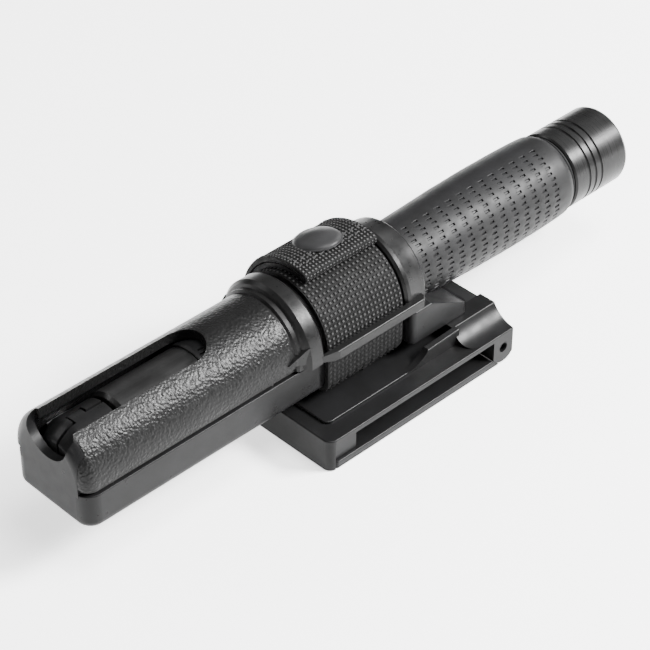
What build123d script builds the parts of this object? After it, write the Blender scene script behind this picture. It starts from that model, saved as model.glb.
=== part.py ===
"""Expandable baton in a swivelling belt holder.

The origin is where the swivel axis meets the belt clip's underside. +X runs along the baton from
the holder's closed end to its mouth and the handle's cap, +Y is across, +Z is up. Millimetres.
Stations are distances along the holder from its closed end.
"""
from build123d import *
import math
import os

os.makedirs("parts", exist_ok=True)

# ---- driving dimensions -------------------------------------------------------------------
swivel_station = 95.0       # swivel axis
axis_z = 27.7               # baton axis above the clip's underside

# Belt clip
clip_start, clip_end = 69.3, 139.8
clip_half = 27.2            # half width across the belt
deck_z = 9.9                # top of the clip's border
plateau_rise = 0.8
plateau_half = 21.4
plateau_start = 73.9
wall_left = 2.2             # end wall beside the latch
slot_end = 132.2            # belt slot runs from the latch block to here
slot_ceiling = 8.4
heel_start = 123.0          # raised block over the hinge
heel_z = 14.7
heel_crest_half = 19.8
heel_foot_half = 27.0
heel_sag = 1.1              # depth of the scooped flanks
heel_corner = 5.0
heel_bevel_start = 133.7
heel_bevel_half = 14.5
heel_bevel_z = 13.4
ramp_start, ramp_top_start = 104.0, 112.0
ramp_wall = 2.0
ramp_z = 14.2
pin_station, pin_z = 136.0, 5.0
pin_r = 1.5
pin_running = 0.06          # radial running clearance in the gate's knuckle
ear_half = 20.2             # ears stand outside this half width
ear_r = 4.8
knuckle_r = 3.8
knuckle_ceiling = 9.0
gate_thick = 2.1
gate_end = 131.9
gate_lip_end = 134.2         # thin lips under the ears
ear_clearance = 0.25
latch_end = 80.3
latch_setback = 1.0
edge_round = 0.35

# Swivel
screw_r = 2.5
screw_head_r = 5.1
disc_r, disc_bottom, disc_top = 12.4, 10.9, 12.5
boss_r = 6.0
index_count = 8

# Holder shells
floor_z = 15.0
shell_half = 14.5
lower_top = 25.7            # top edge of the lower shell, under the parting groove
parting_z = 26.5
arch_r = 14.4
bore_r = 11.7
bore_mouth_r = 12.35
end_wall = 2.5
notch_r, notch_bottom = 8.0, 31.2
tongue_half = 11.2          # half width of the lower shell's raised end wall
window_half = 6.6
window_end = 50.0
rib_start, channel_start, channel_end = 72.0, 77.8, 109.3
rib_r = 16.9
mouth_end = 117.0
block_end = 131.0
block_half = 17.7
block_top = 25.4
rail_half = 18.1            # outer face of the strap rails
rail_end = 114.8
rail_inner = 16.2
rail_bottom, rail_top = 26.1, 28.9
fin_top = 33.2

# Strap
strap_start, strap_end = 79.5, 107.6
strap_inner, strap_thick = 14.5, 1.5
flap_start, flap_end = 81.6, 107.7
flap_inner, flap_thick = 16.2, 3.0
flap_reach = 6.0            # how far the flap comes past the top on the near side
snap_station, snap_lean = 95.0, 12.5
snap_r = 6.8
snap_rim = 18.5             # underside of the cap, from the baton axis

# Baton
tube_start, tube_end = 20.0, 182.0
tube_r, tube_bore = 10.4, 9.2
grip_start, grip_end = 46.0, 180.6
cap_end = 204.4
cap_r = 11.9
middle_r, middle_bore = 8.65, 7.5
shaft_r, shaft_bore = 6.9, 5.8


def at(station):
    """X of a place measured along the holder from its closed end."""
    return station - swivel_station


baton_axis = Axis((0, 0, axis_z), (1, 0, 0))
baton_plane = Plane(origin=(0, 0, axis_z), x_dir=(1, 0, 0), z_dir=(0, -1, 0))


def save(builder, label):
    builder.part.label = label
    export_step(builder.part, f"parts/{label}.step")


# ---- belt clip ----------------------------------------------------------------------------
clip_mid = at((clip_start + clip_end) / 2)
clip_length = clip_end - clip_start

scoop_foot = Vector(-heel_foot_half, deck_z)
scoop_crest = Vector(-heel_crest_half, heel_z)
scoop_chord = scoop_crest - scoop_foot
scoop_mid = (scoop_foot + scoop_crest) / 2 + Vector(scoop_chord.Y, -scoop_chord.X).normalized() * heel_sag

with BuildPart() as heel:
    with BuildSketch(Plane.YZ.offset(at(heel_start))):
        with BuildLine():
            near_scoop = ThreePointArc(scoop_foot, scoop_mid, scoop_crest)
            Line(scoop_crest, (heel_crest_half, heel_z))
            mirror(near_scoop, about=Plane.YZ)
            Polyline((heel_foot_half, deck_z), (heel_foot_half, deck_z - 1),
                     (-heel_foot_half, deck_z - 1), (-heel_foot_half, deck_z))
        make_face()
    extrude(amount=clip_end - heel_start)
    with BuildSketch(Plane.XY.offset(deck_z - 1)) as heel_plan:
        with Locations((at(heel_start), 0)):
            Rectangle(clip_end - heel_start, 2 * clip_half, align=(Align.MIN, Align.CENTER))
        fillet(heel_plan.vertices().group_by(Axis.X)[0], heel_corner)
    extrude(amount=heel_z, mode=Mode.INTERSECT)
    with BuildSketch(Plane.XZ):
        with BuildLine():
            Polyline((at(heel_bevel_start), heel_z), (at(clip_end), heel_bevel_z),
                     (at(clip_end), heel_z + 1), (at(heel_bevel_start), heel_z + 1), close=True)
        make_face()
    extrude(amount=heel_bevel_half, both=True, mode=Mode.SUBTRACT)
    fillet(heel.edges().filter_by(Axis.X).filter_by(
        lambda e: abs(abs(e.center().Y) - heel_crest_half) < 0.01 and e.center().Z > heel_z - 0.1), 0.5)

plateau_z = deck_z + plateau_rise
with BuildPart() as ramps:
    # ramped walls along both sides of the plateau, rising towards the heel
    for side in (-1, 1):
        wall_plane = Plane(origin=(0, side * (plateau_half - ramp_wall / 2), 0), x_dir=(1, 0, 0),
                           z_dir=(0, -1, 0))
        with BuildSketch(wall_plane):
            with BuildLine():
                ramp_foot = (at(ramp_start), plateau_z)
                ramp_crest = (at(ramp_top_start), ramp_z)
                ThreePointArc(ramp_foot, (at(ramp_start + 5), plateau_z + 1.1), ramp_crest)
                Polyline(ramp_crest, (at(heel_start + 1), heel_z), (at(heel_start + 1), deck_z),
                         (at(ramp_start), deck_z), ramp_foot)
            make_face()
        extrude(amount=ramp_wall / 2, both=True)
    fillet(ramps.edges().filter_by(lambda e: e.length > 8 and e.center().Z > plateau_z + 1), edge_round)

with BuildPart() as clip_body:
    with BuildSketch() as border:
        with Locations((clip_mid, 0)):
            Rectangle(clip_length, 2 * clip_half)
        fillet(border.vertices().group_by(Axis.X)[0], 2.5)
    extrude(amount=deck_z)
    fillet(clip_body.faces().sort_by(Axis.Z)[-1].edges(), edge_round)
    with BuildSketch(Plane.XY.offset(deck_z)) as plateau:
        with Locations((at(plateau_start), 0)):
            Rectangle(clip_end - plateau_start - 8, 2 * plateau_half, align=(Align.MIN, Align.CENTER))
        fillet(plateau.vertices().group_by(Axis.X)[0], 2.0)
    extrude(amount=plateau_rise)
    fillet(clip_body.faces().sort_by(Axis.Z)[-1].edges(), edge_round)
    add(heel.part)
    add(ramps.part)
    # belt slot, open below for the gate
    with BuildSketch(Plane.XZ):
        with Locations((at(clip_start + wall_left), 0)):
            Rectangle(slot_end - clip_start - wall_left, 2 * slot_ceiling,
                      align=(Align.MIN, Align.CENTER))
    extrude(amount=clip_half, both=True, mode=Mode.SUBTRACT)
    # space for the gate's knuckle between the ears
    with BuildSketch(Plane.XZ):
        with Locations((at(slot_end - 1), 0)):
            Rectangle(clip_end - slot_end + 2, 2 * knuckle_ceiling, align=(Align.MIN, Align.CENTER))
    extrude(amount=ear_half, both=True, mode=Mode.SUBTRACT)
    # the ears are round about the pin underneath
    with BuildSketch(Plane.XZ):
        with Locations((at(pin_station), pin_z)):
            Rectangle(10.5, pin_z + 1, align=(Align.CENTER, Align.MAX))
            Circle(ear_r, mode=Mode.SUBTRACT)
    extrude(amount=clip_half, both=True, mode=Mode.SUBTRACT)
    with BuildSketch(Plane.XZ):
        with Locations((at(pin_station), pin_z)):
            Circle(pin_r)
    extrude(amount=clip_half, both=True, mode=Mode.SUBTRACT)
    # swivel screw: recess in the slot's ceiling and bore through the deck
    with BuildSketch(Plane.XY.offset(slot_ceiling)):
        Circle(screw_head_r + 0.2)
    extrude(amount=1.3, mode=Mode.SUBTRACT)
    with BuildSketch(Plane.XY.offset(slot_ceiling)):
        Circle(screw_r + pin_running)
    extrude(amount=4, mode=Mode.SUBTRACT)
    # guide groove for the latch block, and the lug that its spring pushes on
    with BuildSketch(Plane.XY.offset(slot_ceiling)):
        with Locations((at(76), -24)):
            Rectangle(4, 46.5, align=(Align.CENTER, Align.MIN))
    extrude(amount=0.8, mode=Mode.SUBTRACT)
    with BuildSketch(Plane.XY.offset(slot_ceiling + 0.2)):
        with Locations((at(76), 22.6)):
            Rectangle(2.4, 1.4, align=(Align.CENTER, Align.MIN))
    extrude(amount=-4.2)
    # seats for the two ends of the swivel's index spring
    with BuildSketch(Plane.XY.offset(plateau_z)):
        with Locations((disc_r + 1.0, -9.2), (disc_r + 1.0, 9.2)):
            Rectangle(3.0, 2.4, align=(Align.MIN, Align.CENTER))
    extrude(amount=1.8)
save(clip_body, "clip_body")

with BuildPart() as gate_bar:
    with BuildSketch() as gate_plan:
        with Locations((at(clip_start + wall_left + 0.2), 0)):
            Rectangle(gate_end - clip_start - wall_left - 0.2, 2 * clip_half,
                      align=(Align.MIN, Align.CENTER))
        fillet(gate_plan.vertices().group_by(Axis.X)[0], 1.0)
        with Locations((at(gate_end - 1), 0)):
            Rectangle(pin_station - gate_end + 1, 2 * (ear_half - 0.2),
                      align=(Align.MIN, Align.CENTER))
    extrude(amount=gate_thick)
    # lips that close the gap under the round ears and swing clear of them
    with BuildSketch(Plane.XZ):
        with Locations((at(gate_end - 1), 0)):
            Rectangle(gate_lip_end - gate_end + 1, gate_thick, align=(Align.MIN, Align.MIN))
        with Locations((at(pin_station), pin_z)):
            Circle(ear_r + ear_clearance, mode=Mode.SUBTRACT)
    extrude(amount=clip_half, both=True)
    with BuildSketch(Plane.XZ):
        with Locations((at(pin_station), pin_z)):
            Circle(knuckle_r)
    extrude(amount=ear_half - 0.2, both=True)
    with BuildSketch(Plane.XZ):
        with Locations((at(pin_station), pin_z)):
            Circle(pin_r + pin_running)
    extrude(amount=clip_half, both=True, mode=Mode.SUBTRACT)
    fillet(gate_bar.edges().filter_by(lambda e: e.length > 40 and abs(e.center().Z - gate_thick) < 0.01
                                      and abs(e.center().Y) > clip_half - 0.1), edge_round)
    # finger scallop under the free end
    with BuildSketch(Plane.XZ):
        with Locations((at(clip_start + wall_left + 3), -2.4)):
            Circle(3.2)
    extrude(amount=9, both=True, mode=Mode.SUBTRACT)
save(gate_bar, "gate_bar")

with BuildPart() as hinge_pin:
    with BuildSketch(Plane.XZ):
        with Locations((at(pin_station), pin_z)):
            Circle(pin_r)
    extrude(amount=clip_half - 1.2, both=True)
    chamfer(hinge_pin.edges().filter_by(GeomType.CIRCLE), 0.3)
save(hinge_pin, "hinge_pin")

latch_start = clip_start + wall_left + 0.3
with BuildPart() as latch_block:
    with BuildSketch(Plane.XY.offset(gate_thick + 0.3)):
        with Locations((at(latch_start), 0)):
            Rectangle(latch_end - latch_start, 2 * (clip_half - latch_setback),
                      align=(Align.MIN, Align.CENTER))
    extrude(amount=slot_ceiling - gate_thick - 0.6)
    chamfer(latch_block.edges().filter_by(Axis.Z), 0.4)
    with BuildSketch(Plane.XY.offset(slot_ceiling - 0.3)):
        with Locations((at(76), -23.8)):
            Rectangle(3.6, 41.8, align=(Align.CENTER, Align.MIN))
    extrude(amount=0.9)
    # pocket for the return spring, closed at both ends
    with BuildSketch(Plane.XY.offset(4.0)):
        with Locations((at(76), 12)):
            Rectangle(3.6, 12.1, align=(Align.CENTER, Align.MIN))
    extrude(amount=6, mode=Mode.SUBTRACT)
save(latch_block, "latch_block")

spring_wire, spring_coil_r, spring_length = 0.2, 1.3, 10.0
with BuildPart() as latch_spring:
    with BuildLine() as coil:
        Helix(pitch=spring_length / 7, height=spring_length, radius=spring_coil_r,
              center=(at(76), 12.3, 6.2), direction=(0, 1, 0))
    with BuildSketch(coil.line ^ 0):
        Circle(spring_wire)
    sweep(path=coil.line)
save(latch_spring, "latch_spring")

# ---- swivel -------------------------------------------------------------------------------
with BuildPart() as swivel_washer:
    with BuildSketch(Plane.XY.offset(plateau_z)):
        Circle(9)
        Circle(3.2, mode=Mode.SUBTRACT)
    extrude(amount=disc_bottom - plateau_z - 0.05)
save(swivel_washer, "swivel_washer")

with BuildPart() as swivel_disc:
    with BuildSketch(Plane.XY.offset(disc_bottom)):
        Circle(disc_r)
        Circle(screw_r, mode=Mode.SUBTRACT)
        with PolarLocations(disc_r + 0.5, index_count):
            Circle(1.3, mode=Mode.SUBTRACT)
    extrude(amount=disc_top - disc_bottom)
save(swivel_disc, "swivel_disc")

with BuildPart() as swivel_screw:
    with BuildSketch(Plane.XY.offset(slot_ceiling + 0.1)):
        Circle(screw_head_r)
    extrude(amount=1.1)
    with BuildSketch(Plane.XY.offset(slot_ceiling + 0.1)):
        Circle(screw_r)
    extrude(amount=5.8)
    with BuildSketch(Plane.XY.offset(slot_ceiling + 0.1)):
        RegularPolygon(2.0, 6)
    extrude(amount=0.7, mode=Mode.SUBTRACT)
save(swivel_screw, "swivel_screw")

# Bent leaf that clicks into the disc's rim notches; it stands on two seats of the clip.
leaf_x, leaf_thick = disc_r + 0.9, 0.5
with BuildPart() as index_spring:
    with BuildSketch(Plane.XY.offset(plateau_z + 0.3)):
        with Locations((leaf_x - 0.15, 0)):
            Rectangle(leaf_thick, 18.0)
        with Locations((leaf_x - 0.15, 0)):
            Circle(0.55)
    extrude(amount=1.4)
save(index_spring, "index_spring")


# ---- holder shells ------------------------------------------------------------------------
with BuildPart() as bore:
    with BuildSketch(baton_plane):
        with BuildLine():
            Polyline((at(end_wall), 0), (at(end_wall), bore_r), (at(102), bore_r),
                     (at(mouth_end), bore_mouth_r), (at(block_end + 2), bore_mouth_r),
                     (at(block_end + 2), 0), close=True)
        make_face()
    revolve(axis=baton_axis)

with BuildPart() as window:
    with BuildSketch(Plane.XY.offset(axis_z)):
        with Locations((at(end_wall), 0)):
            Rectangle(window_end - window_half - end_wall, 2 * window_half,
                      align=(Align.MIN, Align.CENTER))
        with Locations((at(window_end - window_half), 0)):
            Circle(window_half)
    extrude(amount=20)
    with BuildSketch(Plane.YZ.offset(at(-4))):
        with Locations((0, notch_bottom + notch_r)):
            Circle(notch_r)
            Rectangle(2 * notch_r, 20, align=(Align.CENTER, Align.MIN))
    extrude(amount=4 + end_wall + 1)

with BuildPart() as arch:
    with BuildSketch(Plane.YZ.offset(at(0))):
        with Locations((0, axis_z)):
            Circle(arch_r)
            with Locations((0, -arch_r)):
                Rectangle(4 * arch_r, 2 * arch_r, mode=Mode.SUBTRACT)
    extrude(amount=mouth_end)
    fillet(arch.faces().sort_by(Axis.X)[0].edges().filter_by(GeomType.CIRCLE), 3.6)

# The lower shell's end wall stands up through the upper shell to the notch.
with BuildPart() as tongue:
    add(arch.part)
    with BuildSketch(Plane.YZ.offset(at(0))):
        Rectangle(2 * tongue_half, 3 * arch_r, align=(Align.CENTER, Align.MIN))
    extrude(amount=end_wall + 0.6, mode=Mode.INTERSECT)
    with BuildSketch(Plane.YZ.offset(at(0))):
        with Locations((0, lower_top - 1)):
            Rectangle(2 * tongue_half, axis_z - lower_top + 1.01, align=(Align.CENTER, Align.MIN))
    extrude(amount=end_wall + 0.6)

screw_places = [(at(station), side * y) for station, y in ((9, 12.6), (62, 12.75), (113.2, 14.3))
                for side in (-1, 1)]
screw_head_z, screw_tip_z = 17.4, 31.5
shell_screw_r, shell_screw_head_r = 0.9, 1.5
jaw_pin_station, jaw_pin_y, jaw_pin_r = 6.0, 4.2, 0.8
jaw_pin_bottom, jaw_pin_top = 16.2, 32.0
jaw_pin_places = [(at(jaw_pin_station), side * jaw_pin_y) for side in (-1, 1)]

with BuildPart() as mouth_block:
    with BuildSketch(Plane.XY.offset(floor_z)) as block_plan:
        with Locations((at(channel_end), 0)):
            Rectangle(block_end - channel_end, 2 * block_half, align=(Align.MIN, Align.CENTER))
        fillet(block_plan.vertices(), 1.8)
    extrude(amount=block_top - floor_z)
    with BuildSketch(Plane.XZ):
        with BuildLine():
            Polyline((at(116.5), block_top), (at(130.2), 18.6), (at(140), 18.6), (at(140), 30),
                     (at(116.5), 30), close=True)
        make_face()
    extrude(amount=30, both=True, mode=Mode.SUBTRACT)
    block_crest = mouth_block.faces().filter_by(Axis.Z).sort_by(Axis.Z)[-1]
    fillet(block_crest.edges().filter_by(Axis.X), 0.5)

with BuildPart() as lower_shell:
    with BuildSketch(Plane.XY.offset(floor_z)) as long_plan:
        with Locations((at(0), 0)):
            Rectangle(mouth_end, 2 * shell_half, align=(Align.MIN, Align.CENTER))
        fillet(long_plan.vertices().group_by(Axis.X)[0], 4.4)
    extrude(amount=lower_top - floor_z)
    fillet(lower_shell.faces().sort_by(Axis.Z)[0].edges(), 2.2)
    fillet(lower_shell.faces().sort_by(Axis.Z)[-1].edges(), edge_round)
    # strap channel
    with BuildSketch(Plane.XY.offset(floor_z)):
        with Locations((at(channel_start), shell_half + 0.7), (at(channel_start), -shell_half - 0.7)):
            Rectangle(channel_end - channel_start, 2, align=(Align.MIN, Align.CENTER))
    extrude(amount=20, mode=Mode.SUBTRACT)
    # lip that the upper shell sits on, set back behind the groove
    with BuildSketch(Plane.XY.offset(lower_top)) as lip_plan:
        with Locations((at(1.5), 0)):
            Rectangle(channel_end - 1.5, 2 * (shell_half - 1.6), align=(Align.MIN, Align.CENTER))
        fillet(lip_plan.vertices().group_by(Axis.X)[0], 3)
    extrude(amount=parting_z - lower_top)
    add(mouth_block.part)
    add(tongue.part)
    add(bore.part, mode=Mode.SUBTRACT)
    add(window.part, mode=Mode.SUBTRACT)
    # the mouth is a cradle, open underneath
    with BuildSketch(Plane.XY.offset(floor_z - 1)) as cradle:
        with Locations((at(114), 0)):
            Rectangle(30, 9.5, align=(Align.MIN, Align.CENTER))
        fillet(cradle.vertices().group_by(Axis.X)[0], 3)
    extrude(amount=8, mode=Mode.SUBTRACT)
    # boss through the strap, threaded for the swivel screw
    with BuildSketch(Plane.XY.offset(disc_top)):
        Circle(boss_r)
    extrude(amount=floor_z - disc_top + 0.3)
    with BuildSketch(Plane.XY.offset(disc_top)):
        Circle(screw_r)
    extrude(amount=swivel_screw.part.bounding_box().max.Z - disc_top, mode=Mode.SUBTRACT)
    with BuildSketch(Plane.XY.offset(floor_z - 1)):
        with Locations(*screw_places):
            Circle(shell_screw_head_r)
    extrude(amount=screw_head_z - floor_z + 1, mode=Mode.SUBTRACT)
    with BuildSketch(Plane.XY.offset(floor_z - 1)):
        with Locations(*screw_places):
            Circle(shell_screw_r)
    extrude(amount=screw_tip_z - floor_z + 1, mode=Mode.SUBTRACT)
    with BuildSketch(Plane.XY.offset(jaw_pin_bottom)):
        with Locations(*jaw_pin_places):
            Circle(jaw_pin_r)
    extrude(amount=5, mode=Mode.SUBTRACT)
save(lower_shell, "lower_shell")

with BuildPart() as shell_screws:
    with BuildSketch(Plane.XY.offset(screw_head_z)):
        with Locations(*screw_places):
            Circle(shell_screw_r)
    extrude(amount=screw_tip_z - screw_head_z)
    with BuildSketch(Plane.XY.offset(screw_head_z)):
        with Locations(*screw_places):
            Circle(shell_screw_head_r)
    extrude(amount=-1.2)
    with BuildSketch(Plane.XY.offset(screw_head_z - 1.2)):
        with Locations(*screw_places):
            RegularPolygon(0.8, 6)
    extrude(amount=0.7, mode=Mode.SUBTRACT)
save(shell_screws, "shell_screws")

with BuildPart() as ribs:
    # rib before the strap, with a low step on its left, and the collar after the strap
    with BuildSketch(baton_plane):
        with BuildLine():
            Polyline((at(rib_start - 2.2), arch_r - 1), (at(rib_start - 2.2), arch_r),
                     (at(rib_start - 1.7), arch_r + 0.7), (at(rib_start - 0.4), arch_r + 0.8),
                     (at(rib_start), rib_r - 0.9), (at(rib_start + 1.1), rib_r),
                     (at(channel_start - 0.8), rib_r), (at(channel_start), rib_r - 0.8),
                     (at(channel_start), arch_r - 1), close=True)
        make_face()
        with BuildLine():
            collar_top = Spline((at(channel_end + 0.8), rib_r - 0.4), (at(channel_end + 3.6), arch_r + 1.5),
                                (at(mouth_end - 0.8), arch_r + 1.0))
            Polyline(collar_top @ 1, (at(mouth_end), arch_r + 0.3), (at(mouth_end), arch_r - 1),
                     (at(channel_end - 1), arch_r - 1), (at(channel_end - 1), rib_r - 1.2),
                     (at(channel_end - 0.3), rib_r - 0.5), collar_top @ 0)
        make_face()
    revolve(axis=baton_axis)
    split(bisect_by=Plane.XY.offset(parting_z), keep=Keep.TOP)

with BuildPart() as rails:
    # ledges outside the strap, tapered towards the closed end
    with BuildSketch(Plane.XY.offset(rail_bottom)) as rail_plan:
        for side in (-1, 1):
            with BuildLine():
                Polyline((at(66.5), side * (arch_r - 1)), (at(66.5), side * (arch_r + 0.2)),
                         (at(82), side * rail_half), (at(rail_end), side * rail_half),
                         (at(rail_end), side * (arch_r - 1)), close=True)
            make_face()
        fillet(rail_plan.vertices().group_by(Axis.X)[-1].sort_by(Axis.Y)[0], 2.2)
        fillet(rail_plan.vertices().group_by(Axis.X)[-1].sort_by(Axis.Y)[-1], 2.2)
        with Locations((at(channel_start), 0)):
            Rectangle(channel_end - channel_start - 1.0, 2 * rail_inner, mode=Mode.SUBTRACT,
                      align=(Align.MIN, Align.CENTER))
    extrude(amount=fin_top - rail_bottom)
    # side view: a fin runs up to the rib, and the underside rises to a point
    with BuildSketch(Plane.XZ):
        with BuildLine():
            Polyline((at(66.8), 29.8), (at(72.5), fin_top), (at(73.5), fin_top), (at(74.5), rail_top),
                     (at(rail_end + 1), rail_top), (at(rail_end + 1), rail_bottom),
                     (at(80), rail_bottom), close=True)
        make_face()
    extrude(amount=30, both=True, mode=Mode.INTERSECT)
    fillet(rails.edges().filter_by(lambda e: abs(e.center().Z - rail_top) < 0.01 and e.length > 15
                                   and abs(e.center().Y) > rail_inner + 0.5), 0.5)

with BuildPart() as upper_shell:
    add(arch.part)
    # skirt set back above the parting line
    with BuildSketch(Plane.XY.offset(parting_z)) as skirt_plan:
        with Locations((at(0.6), 0)):
            Rectangle(mouth_end - 0.6, 2 * (shell_half - 0.6), align=(Align.MIN, Align.CENTER))
        fillet(skirt_plan.vertices().group_by(Axis.X)[0], 3.6)
    extrude(amount=axis_z - parting_z)
    add(ribs.part)
    add(rails.part)
    add(bore.part, mode=Mode.SUBTRACT)
    add(window.part, mode=Mode.SUBTRACT)
    # room for the lower shell's end wall
    with BuildSketch(Plane.YZ.offset(at(-1))):
        Rectangle(2 * tongue_half + 0.2, 4 * arch_r, align=(Align.CENTER, Align.MIN))
    extrude(amount=1 + end_wall + 0.7, mode=Mode.SUBTRACT)
    with BuildSketch(Plane.XY.offset(floor_z)):
        with Locations(*screw_places):
            Circle(shell_screw_r)
    extrude(amount=screw_tip_z - floor_z, mode=Mode.SUBTRACT)
save(upper_shell, "upper_shell")

# ---- tip jaws -----------------------------------------------------------------------------
jaw_r, jaw_start, jaw_shoulder, jaw_end = 9.7, 2.9, 8.5, 18.6
jaw_nose_r = 6.0
jaw_gap = 0.8
tip_r, tip_start = 7.4, 9.6

with BuildPart() as jaw_blank:
    with BuildSketch(baton_plane):
        with BuildLine():
            jaw_nose = Spline((at(jaw_start), jaw_nose_r), (at(jaw_start + 2.2), jaw_nose_r + 2.2),
                              (at(jaw_shoulder), jaw_r), tangents=((0.4, 1), (1, 0)))
            Polyline(jaw_nose @ 1, (at(jaw_end), jaw_r), (at(jaw_end), tip_r + 0.5),
                     (at(tip_start - 0.6), tip_r + 0.5), (at(tip_start - 0.6), 0),
                     (at(jaw_start), 0), jaw_nose @ 0)
        make_face()
    revolve(axis=baton_axis)

# The two jaws part along a line that steps across the top, so each has its own outline.
# Each point is a station, a y, and how far the step stands back so that the jaws can swing.
parting_steps = [(jaw_start - 1, -0.6, 0), (8.6, -0.6, -0.25), (8.6, 3.2, -0.25), (13.4, 3.2, 0.35),
                 (13.4, 1.0, 0.35), (jaw_end + 1, 1.0, 0)]
for name, side in (("jaw_near", -1), ("jaw_far", 1)):
    with BuildPart() as jaw:
        add(jaw_blank.part)
        with BuildSketch(Plane.XY):
            with BuildLine():
                edge = [(at(station + side * back), y + side * jaw_gap / 2)
                        for station, y, back in parting_steps]
                Polyline(*edge, (at(jaw_end + 1), side * 20), (at(jaw_start - 1), side * 20), close=True)
            make_face()
        extrude(amount=60, mode=Mode.INTERSECT)
        with BuildSketch(Plane.XY.offset(jaw_pin_bottom)):
            with Locations((at(jaw_pin_station), side * jaw_pin_y)):
                Circle(jaw_pin_r + 0.05)
        extrude(amount=jaw_pin_top - jaw_pin_bottom + 0.2, mode=Mode.SUBTRACT)
    save(jaw, name)

with BuildPart() as jaw_pins:
    with BuildSketch(Plane.XY.offset(jaw_pin_bottom)):
        with Locations(*jaw_pin_places):
            Circle(jaw_pin_r)
    extrude(amount=jaw_pin_top - jaw_pin_bottom)
save(jaw_pins, "jaw_pins")

# Leaf springs between the jaws and the holder's wall, bowed inwards at both ends.
with BuildPart() as jaw_springs:
    with BuildSketch(Plane.XY.offset(axis_z - 2.5)):
        for side in (-1, 1):
            with BuildLine():
                leaf_out = [(at(8.5), side * 10.9), (at(13), side * 11.35), (at(17.5), side * 10.9)]
                leaf_in = [(x, y - side * 0.3) for x, y in reversed(leaf_out)]
                Polyline(*leaf_out, *leaf_in, close=True)
            make_face()
    extrude(amount=5)
save(jaw_springs, "jaw_springs")

# ---- strap --------------------------------------------------------------------------------
strap_outer = strap_inner + strap_thick
with BuildPart() as strap_band:
    with BuildSketch(Plane.YZ.offset(at(strap_start))) as band_loop:
        for half, mode in ((strap_outer, Mode.ADD), (strap_inner, Mode.SUBTRACT)):
            bottom_z = floor_z - 0.05 - (half - strap_inner)
            with BuildLine():
                ThreePointArc((-half, axis_z), (0, axis_z + half), (half, axis_z))
                FilletPolyline((half, axis_z), (half, bottom_z), (-half, bottom_z), (-half, axis_z),
                               radius=half - strap_inner + 2.0)
            make_face(mode=mode)
    extrude(amount=strap_end - strap_start)
    # hole for the swivel boss and seat for the stud
    with BuildSketch(Plane.XY):
        Circle(boss_r + 0.1)
    extrude(amount=axis_z, mode=Mode.SUBTRACT)
    snap_plane = Plane(origin=(at(snap_station), 0, axis_z), x_dir=(1, 0, 0),
                       z_dir=(0, math.sin(math.radians(snap_lean)), math.cos(math.radians(snap_lean))))
    with BuildSketch(snap_plane.offset(15.2)):
        Circle(2.6)
    extrude(amount=3, mode=Mode.SUBTRACT)
    with BuildSketch(snap_plane.offset(13)):
        Circle(1.0)
    extrude(amount=3, mode=Mode.SUBTRACT)
save(strap_band, "strap_band")

snap_axis = Axis(snap_plane.origin, snap_plane.z_dir)
with BuildPart() as snap_stud:
    with BuildSketch(snap_plane.offset(15.2)):
        Circle(2.6)
    extrude(amount=0.5)
    with BuildSketch(snap_plane.offset(14.6)):
        Circle(1.0)
    extrude(amount=0.7)
    with BuildSketch(snap_plane.offset(15.6)):
        Circle(1.6)
    extrude(amount=1.4)
    fillet(snap_stud.faces().sort_by(snap_axis)[-1].edges(), 0.4)
save(snap_stud, "snap_stud")

flap_outer = flap_inner + flap_thick
flap_root_z = 29.1
with BuildPart() as strap_flap:
    with BuildSketch(Plane.YZ.offset(at(flap_start))):
        with Locations((0, axis_z)):
            Circle(flap_outer)
            Circle(flap_inner, mode=Mode.SUBTRACT)
        with Locations((-flap_reach, 0)):
            Rectangle(60, 120, align=(Align.MAX, Align.CENTER), mode=Mode.SUBTRACT)
        with Locations((0, flap_root_z)):
            Rectangle(60, 60, align=(Align.CENTER, Align.MAX), mode=Mode.SUBTRACT)
    extrude(amount=flap_end - flap_start)
    with BuildSketch(snap_plane.offset(14)):
        Circle(4.9)
    extrude(amount=3.4, mode=Mode.SUBTRACT)
    with BuildSketch(snap_plane.offset(14)):
        Circle(1.1)
    extrude(amount=6, mode=Mode.SUBTRACT)
    with BuildSketch(snap_plane.offset(snap_rim)):
        Circle(snap_r + 0.05)
    extrude(amount=6, mode=Mode.SUBTRACT)
save(strap_flap, "strap_flap")

with BuildPart() as snap_socket:
    with BuildSketch(snap_plane.offset(16.25)):
        Circle(4.8)
        Circle(2.7, mode=Mode.SUBTRACT)
    extrude(amount=0.9)
    with BuildSketch(snap_plane.offset(17.15)):
        Circle(4.8)
        Circle(1.1, mode=Mode.SUBTRACT)
    extrude(amount=0.25)
save(snap_socket, "snap_socket")

cap_profile_plane = Plane(origin=snap_plane.origin, x_dir=(1, 0, 0), z_dir=-snap_plane.y_dir)
with BuildPart() as snap_cap:
    with BuildSketch(cap_profile_plane):
        with BuildLine():
            dome = Spline((snap_r - 0.3, snap_rim + 0.6), (snap_r - 2.4, snap_rim + 1.8),
                          (0, snap_rim + 2.6), tangents=((-0.6, 1), (-1, 0)))
            Polyline(dome @ 1, (0, 17.2), (1.1, 17.2), (1.1, snap_rim), (snap_r - 0.25, snap_rim),
                     (snap_r, snap_rim + 0.15), (snap_r, snap_rim + 0.45), dome @ 0)
        make_face()
    revolve(axis=snap_axis)
save(snap_cap, "snap_cap")

# ---- baton --------------------------------------------------------------------------------
def turned(outline, name):
    """A piece turned about the baton's axis from (station, radius) corners."""
    with BuildPart() as piece:
        with BuildSketch(baton_plane):
            with BuildLine():
                Polyline(*[(at(station), radius) for station, radius in outline], close=True)
            make_face()
        revolve(axis=baton_axis)
    save(piece, name)
    return piece


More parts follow.
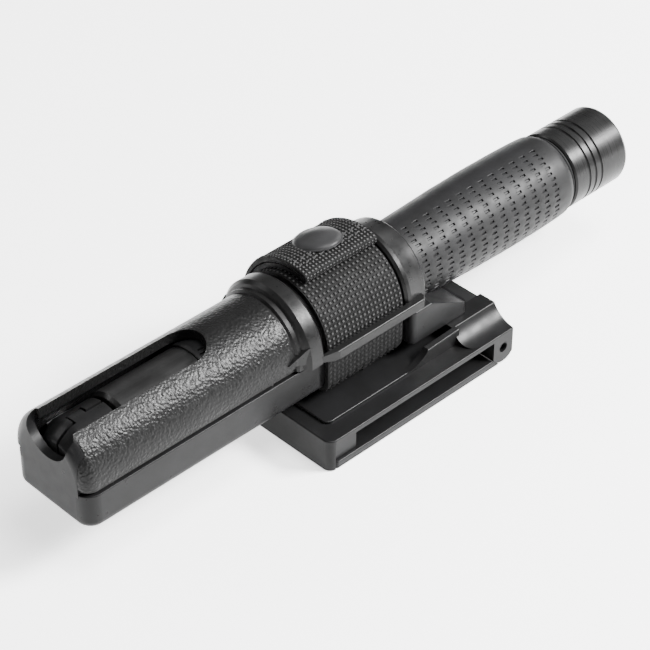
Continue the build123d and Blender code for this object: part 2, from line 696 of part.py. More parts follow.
rear = tube_end - 5.0
turned([(tube_start, middle_r + 0.1), (tube_start, tube_r - 0.9), (tube_start + 0.9, tube_r),
        (tube_end, tube_r), (tube_end, tube_bore), (tube_start + 14, tube_bore),
        (tube_start + 10, middle_r + 0.1)], "handle_tube")
turned([(tube_start + 0.3, shaft_r + 0.1), (tube_start + 0.3, middle_r - 0.4),
        (tube_start + 0.7, middle_r), (rear - 12, middle_r), (rear - 10, tube_bore - 0.1),
        (rear, tube_bore - 0.1), (rear, middle_bore), (tube_start + 14, middle_bore),
        (tube_start + 10, shaft_r + 0.1)], "middle_tube")
turned([(tube_start + 0.2, shaft_bore), (tube_start + 0.2, shaft_r), (rear - 12, shaft_r),
        (rear - 10, middle_bore - 0.1), (rear, middle_bore - 0.1), (rear, shaft_bore)], "tip_shaft")

with BuildPart() as baton_tip:
    with BuildSketch(baton_plane):
        with BuildLine():
            tip_dome = ThreePointArc((at(tip_start), 0), (at(tip_start + 1.6), 4.6),
                                     (at(tip_start + 5.2), tip_r))
            Polyline(tip_dome @ 1, (at(tube_start - 0.9), tip_r), (at(tube_start - 0.2), tip_r - 0.7),
                     (at(tube_start - 0.2), shaft_bore), (at(tube_start + 7), shaft_bore),
                     (at(tube_start + 7), 0), tip_dome @ 0)
        make_face()
    revolve(axis=baton_axis)
save(baton_tip, "baton_tip")

with BuildPart() as grip:
    with BuildSketch(baton_plane):
        with BuildLine():
            swell = Spline((at(grip_start + 1.2), 11.15), (at(100), 11.4), (at(mouth_end), 11.8),
                           (at(131), 12.25), (at(143), 12.75), (at(156), 13.0), (at(168), 12.95),
                           (at(176.5), 12.75))
            shoulder = Spline(swell @ 1, (at(179.4), 12.5), (at(grip_end), 12.0),
                              tangents=(swell % 1, (0.3, -1)))
            Polyline(shoulder @ 1, (at(grip_end), tube_r), (at(grip_start), tube_r),
                     (at(grip_start), 10.9), swell @ 0)
        make_face()
    revolve(axis=baton_axis)
save(grip, "grip")

groove_stations = (188.0, 190.6, 193.2)
cap_shoulder = tube_end + 0.3
with BuildPart() as end_cap:
    with BuildSketch(baton_plane):
        with BuildLine():
            Polyline((at(cap_shoulder), 0), (at(cap_shoulder), cap_r - 0.5),
                     (at(cap_shoulder + 0.5), cap_r), (at(cap_end - 1.0), cap_r),
                     (at(cap_end - 0.3), cap_r - 0.3), (at(cap_end), cap_r - 1.0), (at(cap_end), 0),
                     close=True)
        make_face()
        # threaded spigot inside the handle tube
        with Locations((at(tube_end - 4.2), 0)):
            Rectangle(4.6, tube_bore, align=(Align.MIN, Align.MIN))
        with Locations((at(tube_end - 5), 0)):
            Rectangle(11, 1.05, align=(Align.MIN, Align.MIN), mode=Mode.SUBTRACT)
        for station in groove_stations:
            with Locations((at(station), cap_r)):
                Circle(0.45, mode=Mode.SUBTRACT)
    revolve(axis=baton_axis)
save(end_cap, "end_cap")

with BuildPart() as cap_seal:
    with BuildSketch(baton_plane):
        with Locations((at(cap_shoulder - 0.45), tube_r + 0.45)):
            Circle(0.42)
    revolve(axis=baton_axis)
save(cap_seal, "cap_seal")

# Two-leaf spring clip inside the cap; its leaves press on the tip shaft's bore when closed.
with BuildPart() as retaining_clip:
    with BuildSketch(Plane.XZ):
        for side in (-1, 1):
            with BuildLine():
                clip_out = [(at(176.5), axis_z + side * 3.0), (at(168), axis_z + side * 4.9),
                            (at(163), axis_z + side * 5.5), (at(160), axis_z + side * 4.4)]
                clip_in = [(x, z - side * 0.6) for x, z in reversed(clip_out)]
                Polyline((at(177.0), axis_z + side * 3.0), *clip_out, *clip_in,
                         (at(177.0), axis_z + side * 2.4), close=True)
            make_face()
        with Locations((at(177.0), axis_z)):
            Rectangle(0.8, 6, align=(Align.MIN, Align.CENTER))
    extrude(amount=2, both=True)
    with BuildSketch(Plane.YZ.offset(at(176))):
        with Locations((0, axis_z)):
            Circle(1.05)
    extrude(amount=3, mode=Mode.SUBTRACT)
save(retaining_clip, "retaining_clip")

with BuildPart() as clip_screw:
    with BuildSketch(Plane.YZ.offset(at(175.4))):
        with Locations((0, axis_z)):
            Circle(1.9)
    extrude(amount=1.6)
    with BuildSketch(Plane.YZ.offset(at(177.0))):
        with Locations((0, axis_z)):
            Circle(1.05)
    extrude(amount=11)
save(clip_screw, "clip_screw")
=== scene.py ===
"""Looks for the expandable baton in its swivelling belt holder. Metres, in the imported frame."""

import math

import bpy
import bmesh
from mathutils import Matrix, Vector


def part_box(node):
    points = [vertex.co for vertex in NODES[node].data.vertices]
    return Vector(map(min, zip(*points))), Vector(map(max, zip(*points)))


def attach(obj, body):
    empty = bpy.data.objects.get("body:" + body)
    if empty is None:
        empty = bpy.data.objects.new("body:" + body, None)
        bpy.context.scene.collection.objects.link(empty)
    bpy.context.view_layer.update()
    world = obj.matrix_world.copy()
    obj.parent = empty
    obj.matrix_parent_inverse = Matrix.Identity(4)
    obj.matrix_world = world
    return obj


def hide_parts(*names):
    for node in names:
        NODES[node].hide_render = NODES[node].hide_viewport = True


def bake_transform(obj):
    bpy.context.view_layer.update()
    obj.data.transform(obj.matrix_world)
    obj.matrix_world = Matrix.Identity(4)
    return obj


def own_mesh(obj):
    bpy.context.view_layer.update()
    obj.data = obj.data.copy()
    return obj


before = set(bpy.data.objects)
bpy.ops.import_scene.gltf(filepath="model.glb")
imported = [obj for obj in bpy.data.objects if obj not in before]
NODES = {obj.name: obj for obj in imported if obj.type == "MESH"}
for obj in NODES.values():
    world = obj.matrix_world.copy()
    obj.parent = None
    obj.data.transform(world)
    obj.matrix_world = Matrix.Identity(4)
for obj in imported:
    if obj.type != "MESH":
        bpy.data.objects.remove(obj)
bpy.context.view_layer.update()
MM = 0.001

baton_low, baton_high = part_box("handle_tube")
AXIS_Z = (baton_low.z + baton_high.z) / 2


# ---- bench helpers ------------------------------------------------------------------------
def clear_bench():
    if bpy.context.mode != "OBJECT":
        bpy.ops.object.mode_set(mode="OBJECT")
    bpy.ops.object.select_all(action="DESELECT")


def take(piece):
    """Makes the piece the only one selected, and the active one."""
    clear_bench()
    piece.select_set(True)
    bpy.context.view_layer.objects.active = piece


def name_piece(name):
    piece = bpy.context.object
    piece.name = name
    piece.data.name = name
    return piece


def lay_at_origin(piece):
    take(piece)
    bpy.ops.object.transform_apply(location=True, rotation=True, scale=True)


def pick_faces(piece, wanted):
    """Selects the faces whose centre and normal pass wanted(), in edit mode."""
    bpy.ops.mesh.select_mode(type="FACE")
    bpy.ops.mesh.select_all(action="DESELECT")
    work = bmesh.from_edit_mesh(piece.data)
    work.normal_update()
    for face in work.faces:
        if wanted(face.calc_center_median(), face.normal):
            face.select_set(True)
    bmesh.update_edit_mesh(piece.data)


def pick_points(piece, wanted):
    """Selects the vertices whose place passes wanted(), in edit mode."""
    bpy.ops.mesh.select_mode(type="VERT")
    bpy.ops.mesh.select_all(action="DESELECT")
    work = bmesh.from_edit_mesh(piece.data)
    for point in work.verts:
        if wanted(point.co):
            point.select_set(True)
    work.select_flush_mode()
    bmesh.update_edit_mesh(piece.data)


def close_seams():
    bpy.ops.mesh.select_mode(type="VERT")
    bpy.ops.mesh.select_all(action="SELECT")
    bpy.ops.mesh.remove_doubles(threshold=0.02 * MM)
    bpy.ops.mesh.normals_make_consistent(inside=False)


def smooth(piece, degrees):
    take(piece)
    bpy.ops.object.shade_smooth_by_angle(angle=math.radians(degrees))


# ---- finishes -----------------------------------------------------------------------------
class Finish:
    """A material being mixed: its nodes, its shader, and where its pattern is read."""

    def __init__(self, name, colour, roughness, **shader):
        self.material = bpy.data.materials.new(name)
        self.material.use_nodes = True
        self.nodes = self.material.node_tree.nodes
        self.links = self.material.node_tree.links
        self.shader = self.nodes["Principled BSDF"]
        self.shader.inputs["Base Color"].default_value = (*colour, 1)
        self.shader.inputs["Roughness"].default_value = roughness
        for socket, value in shader.items():
            self.shader.inputs[socket.replace("_", " ")].default_value = value
        self.place = self.nodes.new("ShaderNodeTexCoord").outputs["Object"]

    def stretch(self, scale, turn=(0, 0, 0)):
        mapping = self.nodes.new("ShaderNodeMapping")
        mapping.inputs["Scale"].default_value = scale
        mapping.inputs["Rotation"].default_value = turn
        self.links.new(self.place, mapping.inputs["Vector"])
        return mapping.outputs["Vector"]

    def mottle(self, size, detail=3, place=None):
        noise = self.nodes.new("ShaderNodeTexNoise")
        noise.inputs["Scale"].default_value = 1 / size
        noise.inputs["Detail"].default_value = detail
        self.links.new(place or self.place, noise.inputs["Vector"])
        return noise.outputs["Fac"]

    def pebbles(self, size):
        cells = self.nodes.new("ShaderNodeTexVoronoi")
        cells.feature = "SMOOTH_F1"
        cells.inputs["Scale"].default_value = 1 / size
        self.links.new(self.place, cells.inputs["Vector"])
        return cells.outputs["Distance"]

    def spread(self, value, low, high, start=0.3, end=0.7):
        ramp = self.nodes.new("ShaderNodeMapRange")
        ramp.inputs["From Min"].default_value = start
        ramp.inputs["From Max"].default_value = end
        ramp.inputs["To Min"].default_value = low
        ramp.inputs["To Max"].default_value = high
        self.links.new(value, ramp.inputs["Value"])
        return ramp.outputs["Result"]

    def left_of(self, value, x, blur):
        """value to the left of x along the baton, fading to nothing over blur."""
        split = self.nodes.new("ShaderNodeSeparateXYZ")
        self.links.new(self.place, split.inputs["Vector"])
        near = self.spread(split.outputs["X"], 1, 0, x - blur, x)
        both = self.nodes.new("ShaderNodeMath")
        both.operation = "MULTIPLY"
        self.links.new(value, both.inputs[0])
        self.links.new(near, both.inputs[1])
        return both.outputs["Value"]

    def tint(self, value, dark, light, start=0.3, end=0.7):
        ramp = self.nodes.new("ShaderNodeValToRGB")
        ramp.color_ramp.elements[0].position = start
        ramp.color_ramp.elements[0].color = (*dark, 1)
        ramp.color_ramp.elements[1].position = end
        ramp.color_ramp.elements[1].color = (*light, 1)
        self.links.new(value, ramp.inputs["Fac"])
        self.links.new(ramp.outputs["Color"], self.shader.inputs["Base Color"])

    def gloss(self, value, low, high):
        self.links.new(self.spread(value, low, high), self.shader.inputs["Roughness"])

    def relief(self, value, depth, strength=1.0):
        bump = self.nodes.new("ShaderNodeBump")
        bump.inputs["Strength"].default_value = strength
        bump.inputs["Distance"].default_value = depth
        self.links.new(value, bump.inputs["Height"])
        before = self.shader.inputs["Normal"].links
        if before:
            self.links.new(before[0].from_socket, bump.inputs["Normal"])
        self.links.new(bump.outputs["Normal"], self.shader.inputs["Normal"])


def grey(value, cool=1.0):
    return (value, value, value * cool)


def moulded_black(name, tone, roughness, grain):
    """Black injection-moulded plastic: a very fine spark-eroded grain, and handling marks."""
    finish = Finish(name, grey(tone), roughness, Specular_IOR_Level=0.10)
    finish.tint(finish.mottle(9 * MM, 4), grey(tone * 0.85), grey(tone * 1.25, 1.04))
    finish.gloss(finish.mottle(3.5 * MM, 5), roughness - 0.05, roughness + 0.07)
    finish.relief(finish.mottle(0.35 * MM, 2), grain)
    return finish.material


STEP_BEFORE_STRAP = 9.9 * MM    # the grain ends at the low step before the rib


def pebbled_shell():
    """The upper shell's leather-like pebble grain."""
    finish = Finish("pebbled_shell", grey(0.007), 0.36, Specular_IOR_Level=0.125)
    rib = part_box("strap_band")[0].x - STEP_BEFORE_STRAP
    crowns = finish.spread(finish.pebbles(0.72 * MM), 1, 0, 0.0, 0.7)
    creases = finish.mottle(0.6 * MM, 2)
    finish.tint(finish.mottle(12 * MM), grey(0.005), grey(0.008))
    finish.gloss(finish.mottle(1.3 * MM, 3), 0.27, 0.40)
    finish.relief(finish.left_of(crowns, rib, 0.5 * MM), 0.11 * MM)
    finish.relief(finish.left_of(creases, rib, 0.5 * MM), 0.10 * MM)
    return finish.material


def sleeve_rubber():
    """Satin rubber of the handle's sleeve, slightly bloomed."""
    finish = Finish("sleeve_rubber", grey(0.009), 0.47, Specular_IOR_Level=0.14)
    finish.tint(finish.mottle(11 * MM, 4), grey(0.007), grey(0.011, 1.05))
    finish.gloss(finish.mottle(4 * MM, 4), 0.42, 0.54)
    finish.relief(finish.mottle(0.4 * MM, 3), 0.012 * MM)
    return finish.material


def black_anodised():
    """Turned and anodised cap: fine lathe lines round the axis."""
    finish = Finish("black_anodised", grey(0.008), 0.30, Metallic=0.05, Specular_IOR_Level=0.16)
    turned = finish.mottle(1 * MM, 2, finish.stretch((6.0, 0.05, 0.05)))
    finish.tint(finish.mottle(7 * MM, 4), grey(0.006), grey(0.010))
    finish.gloss(turned, 0.25, 0.36)
    finish.relief(turned, 0.006 * MM)
    return finish.material


def plated_steel(name, tone, roughness):
    """Plated or blackened steel with a drawn grain."""
    finish = Finish(name, grey(tone), roughness, Metallic=0.95)
    drawn = finish.mottle(0.6 * MM, 3, finish.stretch((0.15, 1, 1)))
    finish.tint(finish.mottle(5 * MM, 4), grey(tone * 0.8), grey(tone * 1.15))
    finish.gloss(drawn, roughness - 0.06, roughness + 0.08)
    finish.relief(drawn, 0.004 * MM)
    return finish.material


def oxide_tube():
    """Black-oxide steel tube, seen through the window."""
    finish = Finish("oxide_tube", grey(0.012), 0.33, Metallic=0.2, Specular_IOR_Level=0.3)
    drawn = finish.mottle(0.9 * MM, 3, finish.stretch((0.08, 1, 1)))
    finish.tint(finish.mottle(6 * MM, 4), grey(0.009), grey(0.015))
    finish.gloss(drawn, 0.28, 0.40)
    finish.relief(drawn, 0.005 * MM)
    return finish.material


def woven_nylon(name, tone, thread):
    """Black nylon yarn: twisted threads with a soft sheen."""
    finish = Finish(name, grey(tone), 0.6, Specular_IOR_Level=0.08, Sheen_Weight=0.015,
                    Sheen_Roughness=0.4)
    twist = finish.mottle(thread, 3, finish.stretch((1, 2.2, 2.2), (0, 0.5, 0.6)))
    finish.tint(twist, grey(tone * 0.55), grey(tone * 1.6))
    finish.gloss(finish.mottle(2 * MM, 3), 0.42, 0.66)
    finish.relief(twist, 0.10 * MM)
    return finish.material


CLIP_PLASTIC = moulded_black("clip_plastic", 0.006, 0.33, 0.005 * MM)
SHELL_PLASTIC = moulded_black("shell_plastic", 0.007, 0.32, 0.004 * MM)
JAW_PLASTIC = moulded_black("jaw_plastic", 0.007, 0.32, 0.004 * MM)
WASHER_PLASTIC = moulded_black("washer_plastic", 0.05, 0.45, 0.006 * MM)
SNAP_LACQUER = moulded_black("snap_lacquer", 0.020, 0.36, 0.02 * MM)
SEAL_RUBBER = moulded_black("seal_rubber", 0.010, 0.6, 0.010 * MM)
PEBBLED = pebbled_shell()
SLEEVE = sleeve_rubber()
ANODISED = black_anodised()
STEEL = plated_steel("zinc_steel", 0.42, 0.34)
DARK_STEEL = plated_steel("blackened_steel", 0.06, 0.38)
TUBE = oxide_tube()
# painted shade: the webbing's ground between the raised knots is the same yarn painted far darker,
# and the knots are its lit copy
WEBBING_PAINTED_SHADE = woven_nylon("webbing_ground_painted_shade", 0.003, 0.35 * MM)
KNOTS = woven_nylon("webbing_knots", 0.030, 0.30 * MM)
# painted shade: the flap's knit ground between the raised loops is the same yarn painted far
# darker, and the loops are its lit copy
KNIT_PAINTED_SHADE = woven_nylon("knit_ground_painted_shade", 0.003, 0.30 * MM)
LOOPS = woven_nylon("knit_loops", 0.050, 0.30 * MM)
SIDE_KNIT = woven_nylon("side_knit", 0.010, 0.30 * MM)
THREAD = woven_nylon("sewing_thread", 0.03, 0.2 * MM)

NODE_FINISH = {
    "clip_body": CLIP_PLASTIC, "gate_bar": CLIP_PLASTIC, "latch_block": CLIP_PLASTIC,
    "hinge_pin": DARK_STEEL, "latch_spring": STEEL, "swivel_washer": WASHER_PLASTIC,
    "swivel_disc": SHELL_PLASTIC, "swivel_screw": DARK_STEEL, "index_spring": STEEL,
    "lower_shell": SHELL_PLASTIC, "upper_shell": PEBBLED, "shell_screws": DARK_STEEL,
    "jaw_near": JAW_PLASTIC, "jaw_far": JAW_PLASTIC, "jaw_pins": STEEL, "jaw_springs": STEEL,
    "snap_stud": DARK_STEEL, "snap_socket": DARK_STEEL, "snap_cap": SNAP_LACQUER,
    "handle_tube": TUBE, "middle_tube": TUBE, "tip_shaft": TUBE, "baton_tip": TUBE,
    "end_cap": ANODISED, "cap_seal": SEAL_RUBBER, "retaining_clip": STEEL, "clip_screw": STEEL,
}


def paint(piece, material):
    piece.data.materials.clear()
    piece.data.materials.append(material)


for node, material in NODE_FINISH.items():
    paint(NODES[node], material)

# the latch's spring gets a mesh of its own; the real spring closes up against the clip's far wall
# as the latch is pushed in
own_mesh(NODES["latch_spring"])


# ---- handle sleeve ------------------------------------------------------------------------
sleeve_low, sleeve_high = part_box("grip")
SLEEVE_LENGTH = sleeve_high.x - sleeve_low.x
SLEEVE_SIDES = 96
DIMPLE_PITCH = 4.3 * MM
DIMPLES_END = 4.6 * MM       # plain rubber left before the shoulder
DIMPLE_COLUMNS = 30
DIMPLE_DEPTH = 0.40 * MM
DIMPLE_STEPS = (0.5 * MM, 1.9 * MM, 2.4 * MM)   # one row takes the first two, the next the last two
PLAIN_STRIP = 24             # half width in degrees of each smooth strip
PLAIN_CENTRE = 68            # its middle, from +Y
# Distance from the sleeve's mouth-side end, and the radius there.
SLEEVE_PROFILE = ((0.0, 10.9), (0.6, 11.15), (54.0, 11.4), (71.0, 11.8), (85.0, 12.25),
                  (97.0, 12.75), (110.0, 13.0), (122.0, 12.95), (130.5, 12.75),
                  (133.4, 12.5), (134.6, 12.0))
SLEEVE_BORE = 10.4 * MM
MOUTH_EDGE = 0.6 * MM        # first ring, past the thin edge
SHOULDER_RINGS = (3.2 * MM, 1.9 * MM, 1.2 * MM, 0.5 * MM, 0.0)   # back from the cap end


def sleeve_radius(along):
    """Radius of the sleeve at a distance from its mouth-side end."""
    mm = along / MM
    for (a, ra), (b, rb) in zip(SLEEVE_PROFILE, SLEEVE_PROFILE[1:]):
        if mm <= b + 1e-6:
            share = (mm - a) / (b - a)
            return (ra + (rb - ra) * share) * MM
    return SLEEVE_PROFILE[-1][1] * MM


def ring_step(x, radius, new_x, new_radius):
    bpy.ops.mesh.extrude_region_move(TRANSFORM_OT_translate={"value": (new_x - x, 0, 0)})
    if abs(new_radius - radius) > 1e-9:
        share = new_radius / radius
        bpy.ops.transform.resize(value=(1, share, share), center_override=(new_x, 0, AXIS_Z))


def make_sleeve():
    start = sleeve_low.x
    dimples_from = SLEEVE_LENGTH - DIMPLES_END - DIMPLE_COLUMNS * DIMPLE_PITCH
    steps = [MOUTH_EDGE]
    for column in range(DIMPLE_COLUMNS):
        steps += [dimples_from + column * DIMPLE_PITCH + s for s in (0, *DIMPLE_STEPS)]
    steps += [SLEEVE_LENGTH - back for back in SHOULDER_RINGS]
    clear_bench()
    radius = sleeve_radius(0)
    bpy.ops.mesh.primitive_circle_add(vertices=SLEEVE_SIDES, radius=radius, fill_type="NOTHING",
                                      location=(start, 0, AXIS_Z), rotation=(0, math.pi / 2, 0))
    piece = name_piece("grip_sleeve")
    lay_at_origin(piece)
    bpy.ops.object.mode_set(mode="EDIT")
    bpy.ops.mesh.select_all(action="SELECT")
    here = 0.0
    for along in [s for s in sorted(steps) if s > 0]:
        wider = sleeve_radius(along)
        ring_step(start + here, radius, start + along, wider)
        here, radius = along, wider
    ring_step(start + here, radius, start + here, SLEEVE_BORE)
    ring_step(start + here, SLEEVE_BORE, start, SLEEVE_BORE)
    ring_step(start, SLEEVE_BORE, start, sleeve_radius(0))
    close_seams()

    def in_dimple(centre, normal):
        along = centre.x - start
        if not dimples_from < along < dimples_from + DIMPLE_COLUMNS * DIMPLE_PITCH:
            return False
        away = math.hypot(centre.y, centre.z - AXIS_Z)
        if away < SLEEVE_BORE + 0.3 * MM:
            return False
        turn = math.degrees(math.atan2(centre.z - AXIS_Z, centre.y))
        if abs(turn % 180 - PLAIN_CENTRE) < PLAIN_STRIP:
            return False
        side = int(turn % 360 / (360 / SLEEVE_SIDES))
        if side % 2:
            return False
        into = (along - dimples_from) % DIMPLE_PITCH
        if (side // 2) % 2:
            return DIMPLE_STEPS[0] < into < DIMPLE_STEPS[2]
        return into < DIMPLE_STEPS[1]

    pick_faces(piece, in_dimple)
    bpy.ops.mesh.inset(thickness=0.06 * MM, depth=-0.04 * MM)
    bpy.ops.mesh.inset(thickness=0.12 * MM, depth=-DIMPLE_DEPTH)
    bpy.ops.object.mode_set(mode="OBJECT")
    smooth(piece, 35)
    paint(piece, SLEEVE)
    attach(piece, "handle")
    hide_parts("grip")


make_sleeve()


# ---- strap --------------------------------------------------------------------------------
def weave_strip(name, across, low_x, high_x, path):
    """A flat strip: a row of points across, drawn out along the path in the YZ plane."""
    clear_bench()
    bpy.ops.mesh.primitive_grid_add(x_subdivisions=across, y_subdivisions=1, size=1,
                                    location=(0, 0, 0))
    piece = name_piece(name)
    bpy.ops.object.mode_set(mode="EDIT")
    pick_points(piece, lambda p: p.y > 0)
    bpy.ops.mesh.delete(type="VERT")
    bpy.ops.mesh.select_all(action="SELECT")
    bpy.ops.transform.resize(value=(high_x - low_x, 1, 1))
    y, z = path[0]
    bpy.ops.transform.translate(value=((low_x + high_x) / 2, y + 0.5, z))
    for new_y, new_z in path[1:]:
        bpy.ops.mesh.extrude_region_move(
            TRANSFORM_OT_translate={"value": (0, new_y - y, new_z - z)})
        y, z = new_y, new_z
    return piece


def arc_points(centre_y, centre_z, radius, start, end, count):
    """Points round an arc in the YZ plane, in degrees from +Y towards +Z."""
    turns = [math.radians(start + (end - start) * i / count) for i in range(count + 1)]
    return [(centre_y + radius * math.cos(t), centre_z + radius * math.sin(t)) for t in turns]


def run_points(start, end, count):
    return [(start[0] + (end[0] - start[0]) * i / count, start[1] + (end[1] - start[1]) * i / count)
            for i in range(count + 1)]


def joined(*stretches):
    path = [stretches[0][0]]
    for stretch in stretches:
        path += stretch[1:]
    return path


band_low, band_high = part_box("strap_band")
BAND_HALF = band_high.y
KNOT_RISE = 0.26 * MM
BAND_THICK = 1.25 * MM
BAND_SINK = 0.15 * MM        # how far the weave's ground lies inside the strap's outer face
BAND_CORNER = 3.35 * MM
BAND_CELLS = 19              # knots across the strap
HERRINGBONE_SHIFT = 0.62 * MM
WHOLE_CELL = 1.6 * MM * MM   # smallest area of a cell that still takes a stitch


def raise_knots(piece, wanted, gap, slope, rise, crown=0.0):
    """Insets every wanted cell, lifts its middle, and gives the lifted part the second finish."""
    pick_faces(piece, wanted)
    bpy.ops.mesh.inset(thickness=gap, depth=0, use_individual=True)
    bpy.ops.mesh.inset(thickness=slope, depth=rise, use_individual=True)
    piece.active_material_index = 1
    bpy.ops.object.material_slot_assign()
    if crown:
        bpy.ops.mesh.inset(thickness=crown, depth=crown / 2, use_individual=True)


def thicken(piece, thickness):
    take(piece)
    wall = piece.modifiers.new("cloth_thickness", "SOLIDIFY")
    wall.thickness = thickness
    wall.offset = -1
    wall.use_even_offset = True
    bpy.ops.object.modifier_apply(modifier=wall.name)


def make_band():
    """One loop round the holder: knots above the ledge, cells set in a herringbone below it."""
    half = BAND_HALF - BAND_SINK
    foot_z = band_low.z + BAND_SINK
    bend = BAND_CORNER
    sides = 7
    across = BAND_CELLS
    path = joined(
        run_points((0, foot_z), (-half + bend, foot_z), 9),
        arc_points(-half + bend, foot_z + bend, bend, 270, 180, 4),
        run_points((-half, foot_z + bend), (-half, AXIS_Z), sides),
        arc_points(0, AXIS_Z, half, 180, 0, 34),
        run_points((half, AXIS_Z), (half, foot_z + bend), sides),
        arc_points(half - bend, foot_z + bend, bend, 0, -90, 4),
        run_points((half - bend, foot_z), (0, foot_z), 9))
    low, high = band_low.x + 0.2 * MM, band_high.x - 0.2 * MM
    piece = weave_strip("strap_webbing", across, low, high, path)
    close_seams()
    # normals away from the holder
    pick_faces(piece, lambda c, n: (n.y * c.y + n.z * (c.z - AXIS_Z)) < 0)
    bpy.ops.mesh.flip_normals()
    ledge_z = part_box("upper_shell")[0].z + 0.5 * MM
    column = (high - low) / across
    pick_points(piece, lambda p: p.z < ledge_z and abs(p.y) > BAND_HALF - 2 * MM
                and round((p.x - low) / column) % 2 == 1)
    bpy.ops.transform.translate(value=(0, 0, HERRINGBONE_SHIFT))

    def on_side(c, n):
        return abs(c.y) > BAND_HALF - 1.2 * MM and c.z < ledge_z

    # the ground between the knots takes the painted shade, and the raised knots take the lighter
    # copy of the same yarn
    paint(piece, WEBBING_PAINTED_SHADE)
    piece.data.materials.append(KNOTS)
    piece.data.materials.append(SIDE_KNIT)
    raise_knots(piece, lambda c, n: not on_side(c, n), 0.26 * MM, 0.18 * MM, KNOT_RISE, 0.12 * MM)
    work = bmesh.from_edit_mesh(piece.data)
    bpy.ops.mesh.select_all(action="DESELECT")
    for face in work.faces:
        whole = len(face.verts) == 4 and face.calc_area() > WHOLE_CELL
        if whole and on_side(face.calc_center_median(), face.normal):
            face.select_set(True)
    bmesh.update_edit_mesh(piece.data)
    bpy.ops.mesh.inset(thickness=0.20 * MM, depth=0, use_individual=True)
    bpy.ops.mesh.inset(thickness=0.18 * MM, depth=0.17 * MM, use_individual=True)
    piece.active_material_index = 2
    bpy.ops.object.material_slot_assign()
    bpy.ops.object.mode_set(mode="OBJECT")
    thicken(piece, BAND_THICK)
    smooth(piece, 50)
    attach(piece, "holder")
    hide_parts("strap_band")


make_band()

flap_low, flap_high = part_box("strap_flap")
FLAP_OUTER = flap_high.z - AXIS_Z
FLAP_THICK = 3.0 * MM
FLAP_CELLS = 22              # knit loops across the flap
LOOP_STAGGER = 0.022         # turn of every second column about the baton's axis, in radians
SOCKET_OPENING = 4.6 * MM    # radius of the opening in the under layer


def make_flap():
    """The strap's end, folded back on itself: a doubled knit with a turned hem."""
    across = FLAP_CELLS
    outer = FLAP_OUTER - 0.12 * MM
    inner = FLAP_OUTER - FLAP_THICK + 0.1 * MM
    fold = (outer - inner) / 2
    tip_turn = 90 + math.degrees(math.asin((abs(flap_low.y) - fold) / outer))
    root_turn = math.degrees(math.asin((flap_low.z - AXIS_Z) / inner))
    root_outer = math.degrees(math.asin((flap_low.z - AXIS_Z) / outer))
    middle = (outer + inner) / 2
    tip = math.radians(tip_turn)
    centre = (middle * math.cos(tip), AXIS_Z + middle * math.sin(tip))
    path = joined(
        arc_points(0, AXIS_Z, inner, root_turn, tip_turn, 26),
        arc_points(centre[0], centre[1], fold, tip_turn + 180, tip_turn, 5),
        arc_points(0, AXIS_Z, outer, tip_turn, root_outer, 29))
    low, high = flap_low.x + 0.15 * MM, flap_high.x - 0.15 * MM
    piece = weave_strip("flap_webbing", across, low, high, path)
    close_seams()
    pick_faces(piece, lambda c, n: True)
    work = bmesh.from_edit_mesh(piece.data)
    top = max(work.faces, key=lambda f: f.calc_center_median().z)
    if top.normal.z < 0:
        bpy.ops.mesh.flip_normals()
    column = (high - low) / across
    pick_points(piece, lambda p: round((p.x - low) / column) % 2 == 1
                and math.hypot(p.y, p.z - AXIS_Z) > outer - 0.2 * MM)
    bpy.ops.transform.rotate(value=LOOP_STAGGER, orient_axis="X", center_override=(0, 0, AXIS_Z))
    # opening in the under layer where the snap's socket is pressed through
    socket_low, socket_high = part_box("snap_socket")
    socket = (socket_low + socket_high) / 2
    pick_faces(piece, lambda c, n: (c - socket).length < SOCKET_OPENING
               and math.hypot(c.y, c.z - AXIS_Z) < middle)
    bpy.ops.mesh.delete(type="FACE")
    # the ground between the loops takes the painted shade, and the raised loops take the lighter
    # copy of the same yarn
    paint(piece, KNIT_PAINTED_SHADE)
    piece.data.materials.append(LOOPS)
    raise_knots(piece, lambda c, n: True, 0.17 * MM, 0.15 * MM, 0.18 * MM, 0.08 * MM)
    bpy.ops.object.mode_set(mode="OBJECT")
    thicken(piece, 1.15 * MM)
    smooth(piece, 50)
    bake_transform(piece)
    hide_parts("strap_flap")
    return tip_turn


FLAP_TIP = make_flap()


STITCH_RADIUS, STITCH_LENGTH = 0.22 * MM, 1.5 * MM
STITCH_INSET = 1.6 * MM      # rows stop this far from the flap's sides
HEM_ROWS = (8.5, 14.5)       # degrees back from the flap's tip
HEM_STITCHES = 10
HEM_SLANT = 0.35             # radians from the baton's axis
EDGE_START, EDGE_PITCH = 20, 7.2   # degrees back from the tip, and from stitch to stitch
EDGE_STITCHES = 11


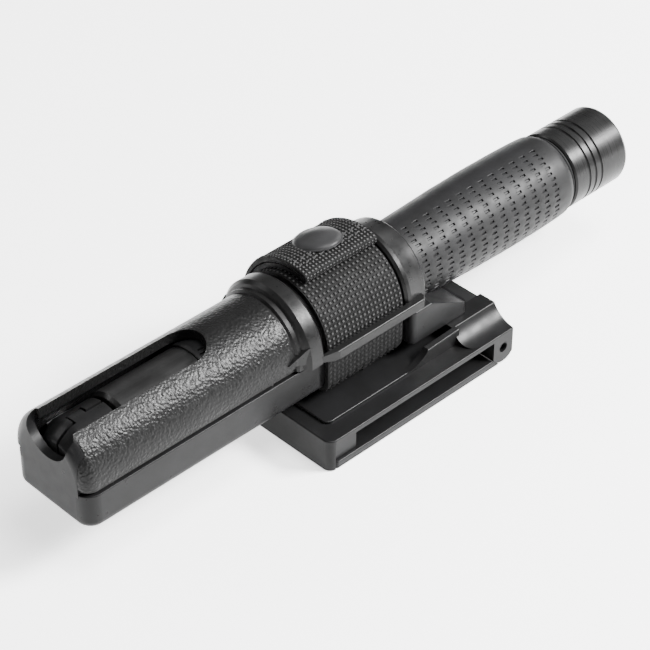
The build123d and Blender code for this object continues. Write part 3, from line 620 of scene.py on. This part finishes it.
def make_stitches():
    """Sewn rows near the flap's hem and along its edges: one stitch, copied."""
    clear_bench()
    bpy.ops.mesh.primitive_cylinder_add(vertices=8, radius=STITCH_RADIUS, depth=STITCH_LENGTH,
                                        rotation=(0, math.pi / 2, 0))
    stitch = name_piece("flap_stitching")
    lay_at_origin(stitch)
    bpy.ops.object.mode_set(mode="EDIT")
    pick_faces(stitch, lambda c, n: abs(n.x) > 0.9)
    bpy.ops.mesh.inset(thickness=0.10 * MM, depth=0.12 * MM, use_individual=True)
    bpy.ops.object.mode_set(mode="OBJECT")
    copies = []
    surface = FLAP_OUTER + 0.02 * MM
    x_low, x_high = flap_low.x + STITCH_INSET, flap_high.x - STITCH_INSET
    places = []
    for back in HEM_ROWS:
        for i in range(HEM_STITCHES):
            x = x_low + (x_high - x_low) * i / (HEM_STITCHES - 1)
            places.append((x, FLAP_TIP - back, HEM_SLANT))
    for i in range(EDGE_STITCHES):
        turn = FLAP_TIP - EDGE_START - i * EDGE_PITCH
        for x in (x_low - 0.2 * MM, x_high + 0.2 * MM):
            places.append((x, turn, math.pi / 2))
    for x, turn, slant in places:
        copy = stitch.copy()
        copy.data = stitch.data.copy()
        bpy.context.scene.collection.objects.link(copy)
        lean = math.radians(turn)
        copy.rotation_euler = (lean - math.pi / 2, 0, 0)
        copy.rotation_mode = "XYZ"
        spin = copy.rotation_euler.to_matrix().to_4x4()
        copy.matrix_world = (Matrix.Translation((x, surface * math.cos(lean),
                                                 AXIS_Z + surface * math.sin(lean)))
                             @ spin @ Matrix.Rotation(slant, 4, "Z"))
        copies.append(copy)
    bpy.data.objects.remove(stitch)
    clear_bench()
    for copy in copies:
        copy.select_set(True)
    bpy.context.view_layer.objects.active = copies[0]
    bpy.ops.object.join()
    piece = name_piece("flap_stitching")
    lay_at_origin(piece)
    smooth(piece, 60)
    paint(piece, THREAD)
    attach(piece, "flap")


make_stitches()


# ---- table, light and camera --------------------------------------------------------------
def make_table():
    finish = Finish("pale_table", grey(0.92), 0.75, Emission_Color=(1, 1, 1, 1),
                    Emission_Strength=1.5)
    finish.tint(finish.mottle(0.4, 2), grey(0.90), grey(0.94))
    clear_bench()
    bpy.ops.mesh.primitive_plane_add(size=6, location=(0, 0, -0.0003))
    table = name_piece("table")
    lay_at_origin(table)
    bpy.ops.object.mode_set(mode="EDIT")
    bpy.ops.mesh.select_all(action="SELECT")
    bpy.ops.mesh.subdivide(number_cuts=3)
    bpy.ops.object.mode_set(mode="OBJECT")
    paint(table, finish.material)


make_table()


MIDDLE = Vector((0.0, 0.0, 0.02))   # what every lamp points at


def softbox(name, place, size, power, size_y=None):
    lamp = bpy.data.lights.new(name, "AREA")
    lamp.shape = "RECTANGLE"
    lamp.size = size
    lamp.size_y = size_y or size
    lamp.energy = power
    holder = bpy.data.objects.new(name, lamp)
    holder.location = place
    holder.rotation_euler = (MIDDLE - Vector(place)).to_track_quat("-Z", "Y").to_euler()
    bpy.context.scene.collection.objects.link(holder)


world = bpy.data.worlds.new("studio")
bpy.context.scene.world = world
world.use_nodes = True
world.node_tree.nodes["Background"].inputs["Color"].default_value = (1, 1, 1, 1)
world.node_tree.nodes["Background"].inputs["Strength"].default_value = 0.05
softbox("key_softbox", (0.66, -0.62, 0.72), 0.40, 66, size_y=0.30)
softbox("left_fill", (-1.1, -0.35, 0.55), 0.4, 2)
softbox("back_strip", (0.1, 1.0, 0.75), 0.8, 1.2, size_y=0.12)
softbox("back_left_fill", (-0.75, 1.0, 0.75), 0.5, 6)
softbox("back_right_fill", (1.2, 0.25, 0.6), 0.45, 4)
softbox("overhead", (0.15, -0.30, 1.2), 0.55, 20)

AZIMUTH, ELEVATION = math.radians(-44.1), math.radians(38.19)
CAMERA_TARGET = Vector((-0.0011, 0, 0.0205))
CAMERA_DISTANCE = 0.6096
BACK = Vector((math.sin(AZIMUTH) * math.cos(ELEVATION), -math.cos(AZIMUTH) * math.cos(ELEVATION),
               math.sin(ELEVATION)))
lens = bpy.data.cameras.new("camera")
lens.sensor_width = 36
lens.lens = 125.9
lens.clip_start, lens.clip_end = 0.01, 20
camera = bpy.data.objects.new("camera", lens)
camera.location = CAMERA_TARGET + BACK * CAMERA_DISTANCE
camera.rotation_euler = BACK.to_track_quat("Z", "Y").to_euler()
bpy.context.scene.collection.objects.link(camera)
bpy.context.scene.camera = camera
